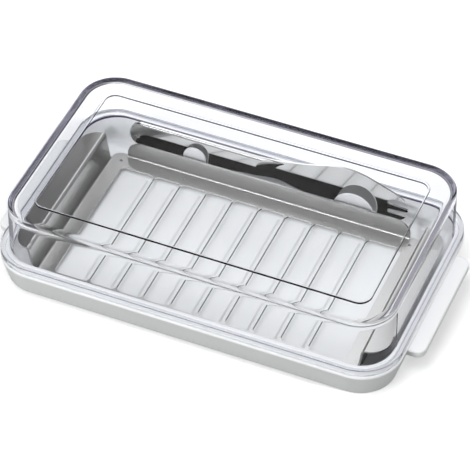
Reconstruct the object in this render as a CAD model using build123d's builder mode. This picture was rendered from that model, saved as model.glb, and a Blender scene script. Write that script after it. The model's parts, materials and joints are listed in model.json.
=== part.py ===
"""Wire butter slicer with its storage case.

A white tray holds a stainless cutter frame strung with nine wires, and a butter knife that
stands in two moulded rests behind it. A clear lid closes the case. Sizes are millimetres.
The origin is the centre of the tray's underside, +X runs along the case, +Z is up, and the
knife stands on the +Y side.
"""

import os
from math import cos, radians, sin, sqrt, tan

from build123d import *

# Tray outline
CASE_LENGTH = 195.0
CASE_DEPTH = 117.0
CASE_CORNER = 20.0
SHOULDER_HEIGHT = 13.5
SIDE_DRAFT = 14.0
SHOULDER_ROUND = 1.2
FOOT_ROUND = 0.8

# Rim that the lid sits around
LEDGE_WIDTH = 3.2
LIP_THICKNESS = 1.7
LIP_HEIGHT = 2.3
LIP_ROUND = 0.4

# Tray inside
FLOOR_THICKNESS = 1.8
CAVITY_DRAFT = 3.0
FLOOR_ROUND = 4.0

# Finger tabs on both short ends
TAB_REACH = 7.0
TAB_WIDTH = 64.0
TAB_THICKNESS = 3.7
TAB_DROP = 1.5
TAB_CORNER = 4.5
TAB_ROUND = 0.8

# Pads on the tray floor that carry the cutter
PAD_HEIGHT = 1.75
PAD_LENGTH = 4.4
PAD_WIDTH = 10.0
PAD_INSET = 4.0

# Cutter sheet, bent from one stamping; the spaces are from the tray's outline to the sheet
SHEET = 0.8
END_SPACE = 19.0
FRONT_SPACE = 11.0
BACK_SPACE = 17.2
FRAME_CORNER = 5.0
END_STRIP = 7.1
FRONT_STRIP = 5.9
BACK_STRIP = 8.8
WINDOW_CORNER = 2.2
END_WINDOW_EXTRA = 4.4
BEND_INSIDE = 1.0
BACK_WALL_INSET = 7.0
BACK_WALL_HEIGHT = 9.9
BACK_WALL_CORNER = 7.0

# End plates and the press handles bent out from them
PLATE_FRONT_INSET = 1.5
PLATE_BACK_INSET = 5.3
PLATE_HEIGHT = 15.65
PLATE_LEAN = 7.3
HANDLE_SPACE = 7.1
HANDLE_CORNER = 9.5
HANDLE_BEND = 1.0
PEEP_HOLE = 1.5
PEEP_HOLE_INSET = 5.4

# Cutting wires
WIRE_COUNT = 9
WIRE_DIAMETER = 0.6
WIRE_LAND = 0.7

# Butter knife; outline points are (along the knife, above its lower edge)
KNIFE_LEAN = 10.0
KNIFE_SEAT = 8.2
KNIFE_SPACE = 12.2
BLADE_THICKNESS = 1.0
KNIFE_END = -73.4
GRIP_WIDTH = 12.0
GRIP_RISE = 1.6
GRIP_CROWN = 0.3
GRIP_ROUND = 1.1
NECK = -8.0
BLADE_LENGTH = 80.0
DISH_RADIUS = 32.0
DISH_SLOPE = 6.0
BLADE_BACK = ((8.0, 13.6), (20.0, 16.0), (34.0, 19.1), (46.0, 17.9), (57.0, 14.3), (65.6, 10.2))
BLADE_TIP = ((67.6, 5.6), (66.4, 1.4), (64.6, 0.0))
BLADE_HEEL = (18.0, 0.0)
EDGE_HOLLOW = ((6.0, 2.2), (-4.0, 2.6), (-16.0, 1.7))
GRIP_HEEL = (-32.0, 0.0)
UPPER_GAP = ((57.2, 6.9), (57.6, 8.9), (61.5, 10.5), (70.0, 9.3), (70.0, 6.1))
LOWER_GAP = ((57.8, 2.3), (57.8, 4.4), (63.5, 4.6), (70.0, 5.4), (70.0, 2.2))
GAP_ROUND = 0.7

# Knife rests moulded in the tray
REST_SPACE = 15.3
REST_TAB = 1.0
REST_TOP = 18.2
REST_BACK_TOP = 14.0
REST_GAP = 0.3
GRIP_REST = -38.2
GRIP_REST_RADIUS = 5.6
BLADE_REST = 42.0
BLADE_REST_RADIUS = 10.0

# Lid
LID_HEIGHT = 28.5
LID_INSET = 4.6
LID_CORNER = 17.5
LID_DRAFT = 1.1
LID_WALL = 1.6
LID_TOP_THICKNESS = 1.8
LID_TOP_ROUND = 1.2
LID_INNER_ROUND = 3.0
SKIRT_SETBACK = 0.6
SKIRT_HEIGHT = 3.9
SKIRT_CLEARANCE = 0.35
SKIRT_ROUND = 0.7
PANEL_INSET = 12.0
PANEL_CORNER = 6.0
PANEL_RISE = 0.8
PANEL_WALL = 0.9
PANEL_ROUND = 0.7

# Heights and places that follow from the sizes above
LIP_TOP = SHOULDER_HEIGHT + LIP_HEIGHT
LIP_INSET = LEDGE_WIDTH + LIP_THICKNESS
FRAME_UNDER = FLOOR_THICKNESS + PAD_HEIGHT
FRAME_TOP = FRAME_UNDER + SHEET
FRAME_FLAT = END_STRIP - BEND_INSIDE
FRAME_LENGTH = CASE_LENGTH - 2 * END_SPACE
FRAME_FRONT = FRONT_SPACE - CASE_DEPTH / 2
FRAME_BACK = CASE_DEPTH / 2 - BACK_SPACE
WINDOW_SPAN = FRAME_LENGTH - 2 * END_STRIP
WINDOW_FRONT = FRAME_FRONT + FRONT_STRIP
WINDOW_BACK = FRAME_BACK - BACK_STRIP
WINDOW_DEPTH = WINDOW_BACK - WINDOW_FRONT
WINDOW_MIDDLE = (WINDOW_BACK + WINDOW_FRONT) / 2
WIRE_PITCH = (WINDOW_SPAN - 2 * END_WINDOW_EXTRA) / (WIRE_COUNT + 1)
BACK_WALL_LENGTH = FRAME_LENGTH - 2 * BACK_WALL_INSET
PLATE_FRONT = FRAME_FRONT + PLATE_FRONT_INSET
PLATE_BACK = FRAME_BACK - PLATE_BACK_INSET
HANDLE_TIP = CASE_LENGTH / 2 - HANDLE_SPACE
KNIFE_FACE = CASE_DEPTH / 2 - KNIFE_SPACE
REST_FRONT = CASE_DEPTH / 2 - REST_SPACE
HANDLE_TOP = FRAME_UNDER + PLATE_HEIGHT
LID_TOP = SHOULDER_HEIGHT + LID_HEIGHT
LID_STEP = LIP_TOP + SKIRT_CLEARANCE
LID_LENGTH = CASE_LENGTH - 2 * LID_INSET
LID_DEPTH = CASE_DEPTH - 2 * LID_INSET
ENDS = (-1, 1)


def case_outline(inset, height):
    """Sketch of the tray's outline, drawn in by an inset, at a height."""
    with BuildSketch(Plane.XY.offset(height)) as outline:
        RectangleRounded(CASE_LENGTH - 2 * inset, CASE_DEPTH - 2 * inset, CASE_CORNER - inset)
    return outline.sketch


def lid_outline(inset, corner, height):
    """Sketch of the lid's top outline, drawn in by an inset, at a height."""
    with BuildSketch(Plane.XY.offset(height)) as outline:
        RectangleRounded(LID_LENGTH - 2 * inset, LID_DEPTH - 2 * inset, corner)
    return outline.sketch


def window_edge(number):
    """X of the line between two windows; the outer two windows are wider."""
    if number == 0:
        return -WINDOW_SPAN / 2
    if number == WIRE_COUNT + 1:
        return WINDOW_SPAN / 2
    return (number - (WIRE_COUNT + 1) / 2) * WIRE_PITCH


def plate_profile(end):
    """Section of an end plate and its press handle, bent up from the flat sheet."""
    foot = FRAME_LENGTH / 2
    lean = PLATE_HEIGHT * tan(radians(PLATE_LEAN))
    corners = (
        (foot - FRAME_FLAT, FRAME_TOP, 0),
        (foot, FRAME_TOP, BEND_INSIDE),
        (foot + lean, HANDLE_TOP, HANDLE_BEND + SHEET),
        (HANDLE_TIP, HANDLE_TOP, 0),
        (HANDLE_TIP, HANDLE_TOP - SHEET, 0),
        (foot + lean + SHEET, HANDLE_TOP - SHEET, HANDLE_BEND),
        (foot + SHEET, FRAME_UNDER, BEND_INSIDE + SHEET),
        (foot - FRAME_FLAT, FRAME_UNDER, 0),
    )
    with BuildSketch(Plane.XZ.offset(-PLATE_BACK)) as profile:
        with BuildLine():
            FilletPolyline(
                *[(end * x, z) for x, z, bend in corners],
                radius=[bend for x, z, bend in corners],
                close=True,
            )
        make_face()
    return profile.sketch


def knife_plane(depth):
    """Plane parallel to the knife's face: x along it, y up its lean, z towards the wires."""
    lean = radians(KNIFE_LEAN)
    face = Plane(
        origin=(0, KNIFE_FACE, KNIFE_SEAT),
        x_dir=(1, 0, 0),
        z_dir=(0, -cos(lean), sin(lean)),
    )
    return face.offset(depth)


def knife_back(height):
    """Y of the rests' back stop, a gap behind the knife's back, at a height."""
    lean = radians(KNIFE_LEAN)
    foot = KNIFE_FACE + (BLADE_THICKNESS + REST_GAP) / cos(lean)
    return foot + (height - KNIFE_SEAT) * tan(lean)


def finish(piece, name):
    """Label a piece and write its STEP file."""
    piece.part.label = name
    export_step(piece.part, f"parts/{name}.step")


os.makedirs("parts", exist_ok=True)


# The finger tabs, one slab that runs through the whole tray
with BuildPart() as tabs:
    with BuildSketch(Plane.XY.offset(SHOULDER_HEIGHT - TAB_DROP)) as tab_outline:
        RectangleRounded(CASE_LENGTH + 2 * TAB_REACH, TAB_WIDTH, TAB_CORNER)
    extrude(amount=-TAB_THICKNESS)
    fillet(tabs.faces().filter_by(Axis.Z).edges(), TAB_ROUND)


# The tray: tapered body with tabs, then the lip, the cavity, the pads and the knife rests
with BuildPart() as base_tray:
    add(case_outline(0, SHOULDER_HEIGHT))
    extrude(amount=-SHOULDER_HEIGHT, taper=SIDE_DRAFT)
    fillet(base_tray.faces().sort_by(Axis.Z)[-1].edges(), SHOULDER_ROUND)
    fillet(base_tray.faces().sort_by(Axis.Z)[0].edges(), FOOT_ROUND)
    add(tabs.part)
    add(case_outline(LEDGE_WIDTH, SHOULDER_HEIGHT))
    extrude(amount=LIP_HEIGHT)
    fillet(base_tray.faces().sort_by(Axis.Z)[-1].edges(), LIP_ROUND)
    add(case_outline(LIP_INSET, LIP_TOP))
    extrude(amount=FLOOR_THICKNESS - LIP_TOP, taper=CAVITY_DRAFT, mode=Mode.SUBTRACT)
    tray_floor = base_tray.faces().sort_by_distance((0, 0, FLOOR_THICKNESS))[0]
    fillet(tray_floor.edges(), FLOOR_ROUND)
    with BuildSketch(Plane.XY.offset(FLOOR_THICKNESS)) as pads:
        with Locations((0, (PLATE_FRONT + PLATE_BACK) / 2)):
            pad_rows = PLATE_BACK - PLATE_FRONT - PAD_WIDTH - 2 * PAD_INSET
            with GridLocations(FRAME_LENGTH - PAD_LENGTH - SHEET - BEND_INSIDE, pad_rows, 2, 2):
                Rectangle(PAD_LENGTH, PAD_WIDTH)
    extrude(amount=PAD_HEIGHT)
    for centre, radius in ((GRIP_REST, GRIP_REST_RADIUS), (BLADE_REST, BLADE_REST_RADIUS)):
        crown = REST_TOP - radius
        with BuildSketch(Plane.XZ.offset(-REST_FRONT)) as rest_tab:
            with BuildLine():
                Polyline(
                    (centre - radius, crown),
                    (centre - radius, FLOOR_THICKNESS),
                    (centre + radius, FLOOR_THICKNESS),
                    (centre + radius, crown),
                )
                ThreePointArc((centre - radius, crown), (centre, REST_TOP), (centre + radius, crown))
            make_face()
        extrude(amount=-REST_TAB)
        with BuildSketch(Plane.YZ.offset(centre - radius)) as rest_seat:
            seat = KNIFE_SEAT - REST_GAP
            with BuildLine():
                Polyline(
                    (REST_FRONT + REST_TAB, FLOOR_THICKNESS),
                    (REST_FRONT + REST_TAB, seat),
                    (knife_back(seat), seat),
                    (knife_back(REST_BACK_TOP), REST_BACK_TOP),
                    (CASE_DEPTH / 2 - LIP_INSET, REST_BACK_TOP),
                    (CASE_DEPTH / 2 - LIP_INSET, FLOOR_THICKNESS),
                    close=True,
                )
            make_face()
        extrude(amount=2 * radius)
finish(base_tray, "base_tray")


# The cutter frame: flat sheet with windows, back wall, end plates and press handles
with BuildPart() as cutter_frame:
    with BuildSketch(Plane.XY.offset(FRAME_UNDER)) as flat_sheet:
        with Locations((0, (FRAME_FRONT + FRAME_BACK) / 2)):
            Rectangle(FRAME_LENGTH, FRAME_BACK - FRAME_FRONT)
        fillet(flat_sheet.vertices().group_by(Axis.Y)[-1], FRAME_CORNER)
        fillet(flat_sheet.vertices().group_by(Axis.Y)[0], PLATE_FRONT - FRAME_FRONT)
    extrude(amount=SHEET)
    with BuildSketch(Plane.YZ.offset(-BACK_WALL_LENGTH / 2)) as back_wall:
        with BuildLine():
            FilletPolyline(
                (FRAME_BACK - BACK_STRIP / 2, FRAME_UNDER),
                (FRAME_BACK, FRAME_UNDER),
                (FRAME_BACK, FRAME_UNDER + BACK_WALL_HEIGHT),
                (FRAME_BACK - SHEET, FRAME_UNDER + BACK_WALL_HEIGHT),
                (FRAME_BACK - SHEET, FRAME_TOP),
                (FRAME_BACK - BACK_STRIP / 2, FRAME_TOP),
                radius=[0, 0, 0, 0, BEND_INSIDE, 0],
                close=True,
            )
        make_face()
    extrude(amount=BACK_WALL_LENGTH)
    fillet(cutter_frame.edges().filter_by(Axis.Y).group_by(Axis.Z)[-1], BACK_WALL_CORNER)
    for end in ENDS:
        extrude(plate_profile(end), amount=PLATE_BACK - PLATE_FRONT, dir=(0, -1, 0))
    handle_edges = cutter_frame.edges().filter_by(Axis.Z).group_by(Axis.Z)[-1]
    fillet(handle_edges, HANDLE_CORNER)
    with BuildSketch(Plane.XY.offset(FRAME_UNDER)) as openings:
        for window in range(WIRE_COUNT + 1):
            left = window_edge(window)
            right = window_edge(window + 1)
            with Locations(((left + right) / 2, WINDOW_MIDDLE)):
                RectangleRounded(right - left - WIRE_LAND, WINDOW_DEPTH, WINDOW_CORNER)
        with Locations((0, WINDOW_MIDDLE)):
            wires_span = 2 * window_edge(WIRE_COUNT) + WIRE_LAND
            Rectangle(wires_span, WINDOW_DEPTH - 2 * WINDOW_CORNER)
        with Locations((0, PLATE_BACK)):
            with GridLocations(FRAME_LENGTH - 2 * PEEP_HOLE_INSET, 0, 2, 1):
                Circle(PEEP_HOLE / 2)
    extrude(amount=SHEET, mode=Mode.SUBTRACT)
finish(cutter_frame, "cutter_frame")


# The cutting wires, each welded between the lands of two facing window corners
for number in range(1, WIRE_COUNT + 1):
    wire_start = (window_edge(number), FRAME_UNDER + SHEET / 2)
    with BuildPart() as cutting_wire:
        with BuildSketch(Plane.XZ.offset(WINDOW_CORNER - WINDOW_BACK)) as wire_section:
            with Locations(wire_start):
                Circle(WIRE_DIAMETER / 2)
        extrude(amount=WINDOW_DEPTH - 2 * WINDOW_CORNER)
    finish(cutting_wire, f"cutting_wire_{number}")


# The butter knife: flat blade with a three-tined tip, and a crowned grip dished at the neck
grip_end = KNIFE_END + GRIP_WIDTH / 2
face = knife_plane(0)
grip_section_plane = Plane(
    origin=face.from_local_coords((grip_end, GRIP_WIDTH / 2, 0)),
    x_dir=face.y_dir,
    z_dir=face.x_dir,
)
dish_reach = sqrt(2 * DISH_RADIUS * GRIP_RISE - GRIP_RISE**2)
dish = Plane(
    origin=face.from_local_coords((NECK + dish_reach, GRIP_WIDTH / 2, DISH_RADIUS)),
    x_dir=face.y_dir,
    z_dir=face.x_dir * cos(radians(DISH_SLOPE)) - face.z_dir * sin(radians(DISH_SLOPE)),
)
with BuildPart() as grip:
    with BuildSketch(grip_section_plane) as grip_section:
        with BuildLine():
            side = GRIP_RISE - GRIP_CROWN
            Polyline(
                (-GRIP_WIDTH / 2, side),
                (-GRIP_WIDTH / 2, -BLADE_THICKNESS),
                (GRIP_WIDTH / 2, -BLADE_THICKNESS),
                (GRIP_WIDTH / 2, side),
            )
            ThreePointArc((GRIP_WIDTH / 2, side), (0, GRIP_RISE), (-GRIP_WIDTH / 2, side))
        make_face()
        fillet(grip_section.vertices().group_by(Axis.Y)[-1], GRIP_ROUND)
    extrude(amount=NECK + 2 * dish_reach - grip_end)
    with BuildSketch(grip_section_plane) as half_section:
        add(grip_section.sketch_local)
        with Locations((-GRIP_WIDTH / 2, 0)):
            Rectangle(GRIP_WIDTH, 2 * GRIP_WIDTH, mode=Mode.SUBTRACT)
    revolve(axis=Axis(grip_section_plane.origin, face.z_dir))
    with Locations(dish.origin):
        Sphere(DISH_RADIUS, mode=Mode.SUBTRACT)
    with BuildSketch(dish) as dish_run:
        Circle(DISH_RADIUS)
    extrude(amount=BLADE_LENGTH, mode=Mode.SUBTRACT)
    with BuildSketch(knife_plane(-BLADE_THICKNESS)) as blade_blank:
        with Locations((NECK, GRIP_WIDTH / 2)):
            Rectangle(BLADE_LENGTH, 2 * BLADE_LENGTH, align=(Align.MIN, Align.CENTER))
    extrude(amount=BLADE_THICKNESS)
with BuildPart() as butter_knife:
    with BuildSketch(knife_plane(-BLADE_THICKNESS)) as knife_outline:
        with BuildLine():
            grip_top = Line((grip_end, GRIP_WIDTH), (NECK, GRIP_WIDTH))
            back_edge = Spline(grip_top @ 1, *BLADE_BACK, tangents=[(1, 0), (1, -1)])
            tip = Polyline(back_edge @ 1, *BLADE_TIP, BLADE_HEEL)
            hollow_edge = Spline(tip @ 1, *EDGE_HOLLOW, GRIP_HEEL, tangents=[(-1, 0), (-1, 0)])
            grip_edge = Line(hollow_edge @ 1, (grip_end, 0))
            ThreePointArc(grip_edge @ 1, (KNIFE_END, GRIP_WIDTH / 2), grip_top @ 0)
        make_face()
        for gap in (UPPER_GAP, LOWER_GAP):
            with BuildLine():
                FilletPolyline(*gap, radius=[GAP_ROUND, GAP_ROUND, 0, 0, 0], close=True)
            make_face(mode=Mode.SUBTRACT)
    extrude(amount=BLADE_THICKNESS + GRIP_RISE)
    add(grip.part, mode=Mode.INTERSECT)
finish(butter_knife, "butter_knife")


# The lid's skirt ring, and the space inside the lid with the hollow under its panel
with BuildPart() as skirt:
    add(case_outline(SKIRT_SETBACK, SHOULDER_HEIGHT))
    extrude(amount=SKIRT_HEIGHT)
    fillet(skirt.faces().filter_by(Axis.Z).edges(), SKIRT_ROUND)
with BuildPart() as lid_space:
    add(lid_outline(LID_WALL, LID_CORNER - LID_WALL, LID_TOP - LID_TOP_THICKNESS))
    extrude(amount=LID_STEP - LID_TOP + LID_TOP_THICKNESS, taper=-LID_DRAFT)
    fillet(lid_space.faces().sort_by(Axis.Z)[-1].edges(), LID_INNER_ROUND)
    add(case_outline(LEDGE_WIDTH - SKIRT_CLEARANCE, SHOULDER_HEIGHT))
    extrude(amount=LID_STEP - SHOULDER_HEIGHT)
    add(lid_outline(PANEL_INSET + PANEL_WALL, PANEL_CORNER - PANEL_WALL, LID_TOP - LID_TOP_THICKNESS))
    extrude(amount=PANEL_RISE)


# The lid: drafted shell with a rounded top edge, a raised panel and the skirt
with BuildPart() as lid:
    add(lid_outline(0, LID_CORNER, LID_TOP))
    extrude(amount=LID_STEP - LID_TOP, taper=-LID_DRAFT)
    fillet(lid.faces().sort_by(Axis.Z)[-1].edges(), LID_TOP_ROUND)
    add(lid_outline(PANEL_INSET, PANEL_CORNER, LID_TOP))
    extrude(amount=PANEL_RISE)
    fillet(lid.faces().sort_by(Axis.Z)[-1].edges(), PANEL_ROUND)
    add(skirt.part)
    add(lid_space.part, mode=Mode.SUBTRACT)
finish(lid, "lid")
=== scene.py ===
"""Look of the wire butter slicer: materials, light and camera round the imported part."""
import json
import math

import bpy
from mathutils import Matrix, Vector

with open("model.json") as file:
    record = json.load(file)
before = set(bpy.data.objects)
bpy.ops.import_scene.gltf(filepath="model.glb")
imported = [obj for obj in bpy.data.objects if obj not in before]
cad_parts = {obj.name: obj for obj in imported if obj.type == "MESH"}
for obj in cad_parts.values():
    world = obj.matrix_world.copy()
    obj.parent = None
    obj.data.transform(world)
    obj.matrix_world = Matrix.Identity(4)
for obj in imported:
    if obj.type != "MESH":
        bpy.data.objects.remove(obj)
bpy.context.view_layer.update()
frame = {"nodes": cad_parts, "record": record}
nodes = frame["nodes"]
scene = bpy.context.scene

# Camera, solved from the outlines in the photo, in metres and degrees
CAMERA_AZIMUTH = 23.0
CAMERA_ELEVATION = 44.7
CAMERA_TARGET = (-0.00561, 0.01567, 0.0)
CAMERA_DISTANCE = 1.2512
CAMERA_LENS_MM = 206.04
CAMERA_SENSOR_MM = 36
azimuth, elevation = math.radians(CAMERA_AZIMUTH), math.radians(CAMERA_ELEVATION)
to_camera = Vector((
    math.sin(azimuth) * math.cos(elevation),
    -math.cos(azimuth) * math.cos(elevation),
    math.sin(elevation),
))

# Colours, linear, in pairs where noise mixes them
TRAY_COLOURS = ((0.80, 0.815, 0.815), (0.83, 0.84, 0.84))
SHEET_COLOUR = (0.69, 0.688, 0.672)
# Near-black painted shade for the cutter sheet's faces that look back, down or outward
SHEET_PAINTED_SHADE_COLOUR = (0.03, 0.03, 0.025)
WIRE_COLOUR = (0.34, 0.34, 0.33)
KNIFE_COLOUR = (0.80, 0.80, 0.79)
PLASTIC_TINTS = ((0.991, 0.995, 0.998), (0.996, 1.0, 1.0))
PLASTIC_BODY_COLOUR = (0.36, 0.26, 0.70)
FLOOR_COLOURS = ((0.93, 0.93, 0.93), (0.96, 0.96, 0.96))
FLOOR_DULL_COLOURS = ((0.27, 0.27, 0.27), (0.31, 0.31, 0.31))
FLOOR_DARK_COLOUR = (0.06, 0.045, 0.12)
ROOM_COLOUR = (0.95, 0.97, 1.0)

# Tray: roughness from the troughs to the crests of its grain, which is this deep in metres
TRAY_ROUGHNESS = (0.26, 0.36)
TRAY_GRAIN_DEPTH = 0.00002
TRAY_GRAIN_STRENGTH = 0.25

# Steel: how dark its patches are, and how far its grain changes the roughness
STEEL_PATCH = 0.94
STEEL_GRAIN = 0.06
# Painted shade on the sheet's faces that look back, down or outward: its share where it
# is seen directly (it is full in reflections), and how squarely a side has to look out
# for it to begin and to be full
PAINTED_SHADE_SHARE_SEEN = 0.75
PAINTED_SHADE_FROM, PAINTED_SHADE_FULL = 0.5, 0.8

# Clear plastic: refraction, a power that weakens the gloss of walls seen head on,
# how rough it is at most, and the absorption of its body per metre
PLASTIC_IOR = 1.52
PLASTIC_GLOSS_POWER = 1.5
PLASTIC_ROUGHNESS = 0.003
PLASTIC_DENSITY = 15

# Floor and room: the distance over which the floor turns white, and strengths where 1
# is white; what is reflected GLOSSY_FADE times or more shows none of the white
FLOOR_SIZE = 8
FADE_START, FADE_END = 0.22, 0.55
FLOOR_LIFT = 0.18
WHITE_STRENGTH = 1.0
ROOM_STRENGTH = 0.04
GLOSSY_FADE = 1.6

# The back card stands this far along the way in which flat steel mirrors the camera
BACK_CARD_DISTANCE = 0.6
# The middle of the card that lies in front of the object, just over the floor
FRONT_FLOOR_X, FRONT_FLOOR_Y, FRONT_FLOOR_LIFT = -0.05, -0.29, 0.001

# Colour sockets of the Mix node, whose names its other data types share
MIX_FIRST, MIX_SECOND, MIX_RESULT = 6, 7, 2


def feed(tree, socket, value):
    """Gives an input socket an output socket, a colour of three numbers, or a number."""
    if isinstance(value, bpy.types.NodeSocket):
        tree.links.new(value, socket)
    elif isinstance(value, tuple):
        socket.default_value = (*value, 1)
    else:
        socket.default_value = value


def add_node(tree, kind, **inputs):
    """A new shader node, with its named inputs fed; an underscore stands for a space."""
    node = tree.nodes.new(f"ShaderNode{kind}")
    for name, value in inputs.items():
        feed(tree, node.inputs[name.replace("_", " ")], value)
    return node


def new_material(name):
    """A new material with an empty node tree and its output node."""
    material = bpy.data.materials.new(name)
    material.use_nodes = True
    tree = material.node_tree
    tree.nodes.clear()
    return material, tree, add_node(tree, "OutputMaterial")


def calculate(tree, operation, *values):
    """Result of a Math node on sockets or numbers."""
    node = add_node(tree, "Math")
    node.operation = operation
    for socket, value in zip(node.inputs, values):
        feed(tree, socket, value)
    return node.outputs["Value"]


def remap(tree, value, first, last, start=0.0, end=1.0, interpolation="LINEAR"):
    """A value that is taken from start..end to first..last."""
    node = add_node(tree, "MapRange", Value=value, From_Min=start, From_Max=end,
                    To_Min=first, To_Max=last)
    node.interpolation_type = interpolation
    return node.outputs["Result"]


def mix_colour(tree, factor, first, second):
    """Mix of two colours, each given as three numbers or as a socket."""
    node = add_node(tree, "Mix")
    node.data_type = "RGBA"
    feed(tree, node.inputs[0], factor)
    feed(tree, node.inputs[MIX_FIRST], first)
    feed(tree, node.inputs[MIX_SECOND], second)
    return node.outputs[MIX_RESULT]


def mix_shader(tree, factor, first, second):
    """Mix of two shader sockets by a factor socket."""
    node = add_node(tree, "MixShader")
    for socket, value in zip(node.inputs, (factor, first, second)):
        feed(tree, socket, value)
    return node.outputs["Shader"]


def noise(tree, scale, stretch=(1, 1, 1), detail=2, roughness=0.5):
    """Noise in object coordinates, stretched per axis."""
    coords = add_node(tree, "TexCoord")
    mapping = add_node(tree, "Mapping", Vector=coords.outputs["Object"])
    mapping.inputs["Scale"].default_value = stretch
    texture = add_node(tree, "TexNoise", Vector=mapping.outputs["Vector"], Scale=scale,
                       Detail=detail, Roughness=roughness)
    return texture.outputs["Fac"]


def tray_plastic():
    """Pale moulded plastic with a fine grain and a slight mottle."""
    material, tree, out = new_material("tray_plastic")
    mottle = noise(tree, scale=35)
    grain = noise(tree, scale=1400)
    bump = add_node(tree, "Bump", Height=grain, Distance=TRAY_GRAIN_DEPTH,
                    Strength=TRAY_GRAIN_STRENGTH)
    shader = add_node(
        tree, "BsdfPrincipled",
        Base_Color=mix_colour(tree, mottle, *TRAY_COLOURS),
        Roughness=remap(tree, grain, *TRAY_ROUGHNESS),
        Normal=bump.outputs["Normal"],
    )
    feed(tree, out.inputs["Surface"], shader.outputs["BSDF"])
    return material


def painted_shade_side(tree):
    """Mask of painted shade: 1 on the side of the bent sheet that looks back, down or away
    from the middle.
    """
    coords = add_node(tree, "TexCoord")
    normal = add_node(tree, "SeparateXYZ", Vector=coords.outputs["Normal"])
    place = add_node(tree, "SeparateXYZ", Vector=coords.outputs["Object"])
    end = calculate(tree, "SIGN", place.outputs["X"])
    outward = calculate(tree, "MULTIPLY", normal.outputs["X"], end)
    down = calculate(tree, "MULTIPLY", normal.outputs["Z"], -1)
    most = calculate(tree, "MAXIMUM", outward, down)
    most = calculate(tree, "MAXIMUM", most, normal.outputs["Y"])
    return remap(tree, most, 0.0, 1.0, PAINTED_SHADE_FROM, PAINTED_SHADE_FULL)


def steel(name, colour, roughness, stretch, painted_shade_colour=None):
    """Finely mottled stainless steel; a colour given for painted shade darkens the outer side
    of a sheet, fully where it is mirrored.
    """
    material, tree, out = new_material(name)
    grain = noise(tree, scale=900, stretch=stretch, detail=4, roughness=0.6)
    patches = noise(tree, scale=25)
    base = mix_colour(tree, patches, tuple(STEEL_PATCH * part for part in colour), colour)
    # Painted shade on the sheet's back, underside and outward faces, full where mirrored
    if painted_shade_colour:
        path = add_node(tree, "LightPath")
        weight = remap(tree, path.outputs["Is Glossy Ray"], PAINTED_SHADE_SHARE_SEEN, 1.0)
        share = calculate(tree, "MULTIPLY", painted_shade_side(tree), weight)
        base = mix_colour(tree, share, base, painted_shade_colour)
    smoothest, roughest = roughness * (1 - STEEL_GRAIN), roughness * (1 + STEEL_GRAIN)
    shader = add_node(tree, "BsdfPrincipled", Base_Color=base, Metallic=1.0,
                      Roughness=remap(tree, grain, smoothest, roughest))
    feed(tree, out.inputs["Surface"], shader.outputs["BSDF"])
    return material


def clear_plastic():
    """Refracting clear plastic that lets shadow rays and diffuse light straight through."""
    material, tree, out = new_material("clear_plastic")
    ripple = noise(tree, scale=40, detail=1)
    smooth = remap(tree, ripple, 0.0, PLASTIC_ROUGHNESS)
    tint = mix_colour(tree, ripple, *PLASTIC_TINTS)
    bend = add_node(tree, "BsdfRefraction", Color=tint, Roughness=smooth, IOR=PLASTIC_IOR)
    gloss = add_node(tree, "BsdfGlossy", Roughness=smooth)
    fresnel = add_node(tree, "Fresnel", IOR=PLASTIC_IOR)
    share = calculate(tree, "POWER", fresnel.outputs["Fac"], PLASTIC_GLOSS_POWER)
    glass = mix_shader(tree, share, bend.outputs["BSDF"], gloss.outputs["BSDF"])
    through = add_node(tree, "BsdfTransparent", Color=tint)
    path = add_node(tree, "LightPath")
    straight = calculate(tree, "MAXIMUM", path.outputs["Is Shadow Ray"],
                         path.outputs["Is Diffuse Ray"])
    surface = mix_shader(tree, straight, glass, through.outputs["BSDF"])
    body = add_node(tree, "VolumeAbsorption", Color=PLASTIC_BODY_COLOUR,
                    Density=PLASTIC_DENSITY)
    feed(tree, out.inputs["Surface"], surface)
    feed(tree, out.inputs["Volume"], body.outputs["Volume"])
    return material


def finish_nodes():
    """Gives each CAD node the finish of its material slot."""
    finishes = {
        "tray_plastic": tray_plastic(),
        # The cutter sheet gets a near-black colour as painted shade on its outward faces
        "cutter_steel": steel("cutter_steel", SHEET_COLOUR, roughness=0.28,
                              stretch=(0.2, 1, 1), painted_shade_colour=SHEET_PAINTED_SHADE_COLOUR),
        "wire_steel": steel("wire_steel", WIRE_COLOUR, roughness=0.3, stretch=(1, 0.05, 1)),
        "knife_steel": steel("knife_steel", KNIFE_COLOUR, roughness=0.08,
                             stretch=(0.05, 1, 1)),
        "clear_plastic": clear_plastic(),
    }
    for part in frame["record"]["subparts"]:
        node = nodes[part["node"]]
        node.data.materials.clear()
        node.data.materials.append(finishes[part["material_slot"]])


def unbent(tree):
    """1 for what is seen straight or through clear walls, and less the more it is mirrored."""
    path = add_node(tree, "LightPath")
    straight = remap(tree, path.outputs["Glossy Depth"], 1.0, 0.0, end=GLOSSY_FADE)
    through = calculate(tree, "MULTIPLY", path.outputs["Is Transmission Ray"], straight)
    return calculate(tree, "MAXIMUM", path.outputs["Is Camera Ray"], through)


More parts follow.
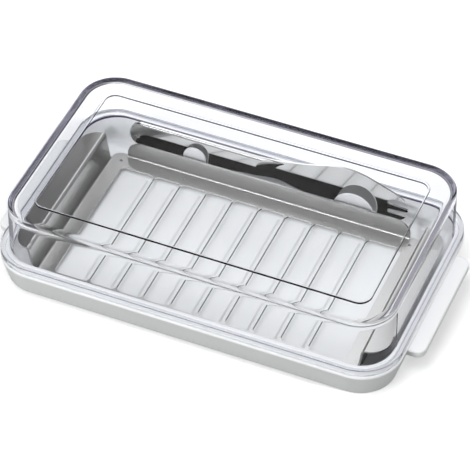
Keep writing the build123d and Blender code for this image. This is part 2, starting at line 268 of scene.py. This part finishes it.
def floor_material():
    """Pale floor that turns white away from the object.

    It is duller in the light that it throws back, and dark where clear edges mirror it.
    """
    material, tree, out = new_material("floor")
    spots = noise(tree, scale=12)
    pale = add_node(tree, "BsdfDiffuse", Color=mix_colour(tree, spots, *FLOOR_COLOURS))
    lift = add_node(tree, "Emission", Strength=FLOOR_LIFT)
    lifted = add_node(tree, "AddShader")
    feed(tree, lifted.inputs[0], pale.outputs["BSDF"])
    feed(tree, lifted.inputs[1], lift.outputs["Emission"])
    coords = add_node(tree, "TexCoord")
    away = add_node(tree, "VectorMath")
    away.operation = "LENGTH"
    feed(tree, away.inputs[0], coords.outputs["Object"])
    far = remap(tree, away.outputs["Value"], 0.0, 1.0, FADE_START, FADE_END, "SMOOTHSTEP")
    backdrop = add_node(tree, "Emission", Strength=WHITE_STRENGTH)
    seen = mix_shader(tree, far, lifted.outputs["Shader"], backdrop.outputs["Emission"])
    dull = add_node(tree, "BsdfDiffuse", Color=mix_colour(tree, spots, *FLOOR_DULL_COLOURS))
    dark = add_node(tree, "BsdfDiffuse", Color=FLOOR_DARK_COLOUR)
    path = add_node(tree, "LightPath")
    unseen = mix_shader(tree, path.outputs["Is Transmission Ray"], dull.outputs["BSDF"],
                        dark.outputs["BSDF"])
    feed(tree, out.inputs["Surface"], mix_shader(tree, unbent(tree), unseen, seen))
    return material


def lay_floor():
    """The floor that the object stands on."""
    bpy.ops.mesh.primitive_plane_add(size=FLOOR_SIZE)
    floor = bpy.context.object
    floor.name = "floor"
    floor.data.materials.append(floor_material())


def build_room():
    """World: a dim room, white behind the object."""
    world = bpy.data.worlds.new("studio")
    scene.world = world
    world.use_nodes = True
    tree = world.node_tree
    tree.nodes.clear()
    out = add_node(tree, "OutputWorld")
    room = add_node(tree, "Background", Color=ROOM_COLOUR, Strength=ROOM_STRENGTH)
    white = add_node(tree, "Background", Color=(1, 1, 1), Strength=WHITE_STRENGTH)
    seen = mix_shader(tree, unbent(tree), room.outputs["Background"],
                      white.outputs["Background"])
    feed(tree, out.inputs["Surface"], seen)


def turned(place, aim, track):
    """Rotation at a place that points the track axis at the aim, with Y up."""
    return (Vector(aim) - Vector(place)).to_track_quat(track, "Y").to_euler()


def area_light(name, place, size, power):
    """Area light that is aimed at the object's middle and hidden from reflections."""
    data = bpy.data.lights.new(name, "AREA")
    data.shape = "RECTANGLE"
    data.size, data.size_y = size
    data.energy = power
    lamp = bpy.data.objects.new(name, data)
    scene.collection.objects.link(lamp)
    lamp.location = place
    lamp.rotation_euler = turned(place, (0, 0, 0), "-Z")
    lamp.visible_glossy = False
    lamp.visible_transmission = False
    return lamp


def spare_from_shadow(lamp, node):
    """Keeps a node from casting this lamp's shadow."""
    spared = bpy.data.collections.new(f"{lamp.name}_passes")
    spared.objects.link(node)
    lamp.light_linking.blocker_collection = spared
    spared.collection_objects[0].light_linking.link_state = "EXCLUDE"


def glow_material(name, stops):
    """Emission whose strength follows stops of place and strength along X."""
    material, tree, out = new_material(name)
    coords = add_node(tree, "TexCoord")
    split = add_node(tree, "SeparateXYZ", Vector=coords.outputs["Generated"])
    ramp = add_node(tree, "FloatCurve", Value=split.outputs["X"])
    top = max(strength for _, strength in stops)
    curve = ramp.mapping.curves[0]
    for point, (stop, strength) in zip(curve.points, (stops[0], stops[-1])):
        point.location = (stop, strength / top)
    for stop, strength in stops[1:-1]:
        curve.points.new(stop, strength / top)
    ramp.mapping.update()
    strength = calculate(tree, "MULTIPLY", ramp.outputs["Value"], top)
    glow = add_node(tree, "Emission", Strength=strength)
    feed(tree, out.inputs["Surface"], glow.outputs["Emission"])
    return material


def card(name, place, size, stops, aim=(0, 0, 0), turn=0.0):
    """Glowing card that only reflections and refraction show, turned in its own plane."""
    bpy.ops.mesh.primitive_plane_add(size=1)
    plane = bpy.context.object
    plane.name = name
    plane.scale = (*size, 1)
    plane.location = place
    plane.rotation_euler = turned(place, aim, "Z")
    plane.rotation_euler.rotate_axis("Z", math.radians(turn))
    plane.data.materials.append(glow_material(name, stops))
    plane.visible_camera = False
    plane.visible_diffuse = False
    plane.visible_shadow = False
    return plane


def even(strength):
    """Stops of a card that glows evenly."""
    return ((0.0, strength), (1.0, strength))


def light_object():
    """Soft lamps for the surfaces, a small one for crisp shadows, and cards for the gloss.

    Lamp powers are in watts, and a card of strength 1 shows as white.
    """
    area_light("overhead", place=(-0.3, -0.15, 1.1), size=(1.1, 1.0), power=8.4)
    key = area_light("key", place=(1.1, -0.12, 0.78), size=(0.06, 0.06), power=8.0)
    # Its right end plate would shade the last window, which the photo shows bright
    spare_from_shadow(key, nodes["cutter_frame"])
    area_light("front", place=(-0.5, -1.1, 0.5), size=(0.8, 0.4), power=10.5)
    area_light("behind", place=(0.3, 1.1, 0.35), size=(0.9, 0.4), power=7)

    mirrored_view = Vector((-to_camera.x, -to_camera.y, to_camera.z))
    card("back_card", place=BACK_CARD_DISTANCE * mirrored_view, size=(1.0, 0.8), turn=-12,
         stops=((0.0, 0.04), (0.38, 0.05), (0.44, 0.62), (0.5, 1.6), (0.58, 1.3),
                (0.7, 0.5), (1.0, 0.25)))
    card("front_card", place=(-0.2, -0.47, 0.505), size=(0.7, 0.4), stops=even(0.5))
    card("strip_card", place=(0, -0.12, 0.9), size=(0.9, 0.12), stops=even(7.5))
    front_floor = card("front_floor", place=(FRONT_FLOOR_X, FRONT_FLOOR_Y, FRONT_FLOOR_LIFT),
                       aim=(FRONT_FLOOR_X, FRONT_FLOOR_Y, 1), size=(0.6, 0.44),
                       stops=even(1.3))
    front_floor.visible_transmission = False


def place_camera():
    """Camera at the photo's angle."""
    data = bpy.data.cameras.new("camera")
    data.lens = CAMERA_LENS_MM
    data.sensor_width = CAMERA_SENSOR_MM
    camera = bpy.data.objects.new("camera", data)
    scene.collection.objects.link(camera)
    camera.location = Vector(CAMERA_TARGET) + to_camera * CAMERA_DISTANCE
    camera.rotation_euler = to_camera.to_track_quat("Z", "Y").to_euler()
    scene.camera = camera


finish_nodes()
lay_floor()
build_room()
light_object()
place_camera()

scene.view_settings.view_transform = "Standard"
# Light runs a long way inside the lid's walls
scene.cycles.max_bounces = 40
scene.cycles.glossy_bounces = 32
scene.cycles.transmission_bounces = 32
scene.cycles.transparent_max_bounces = 16
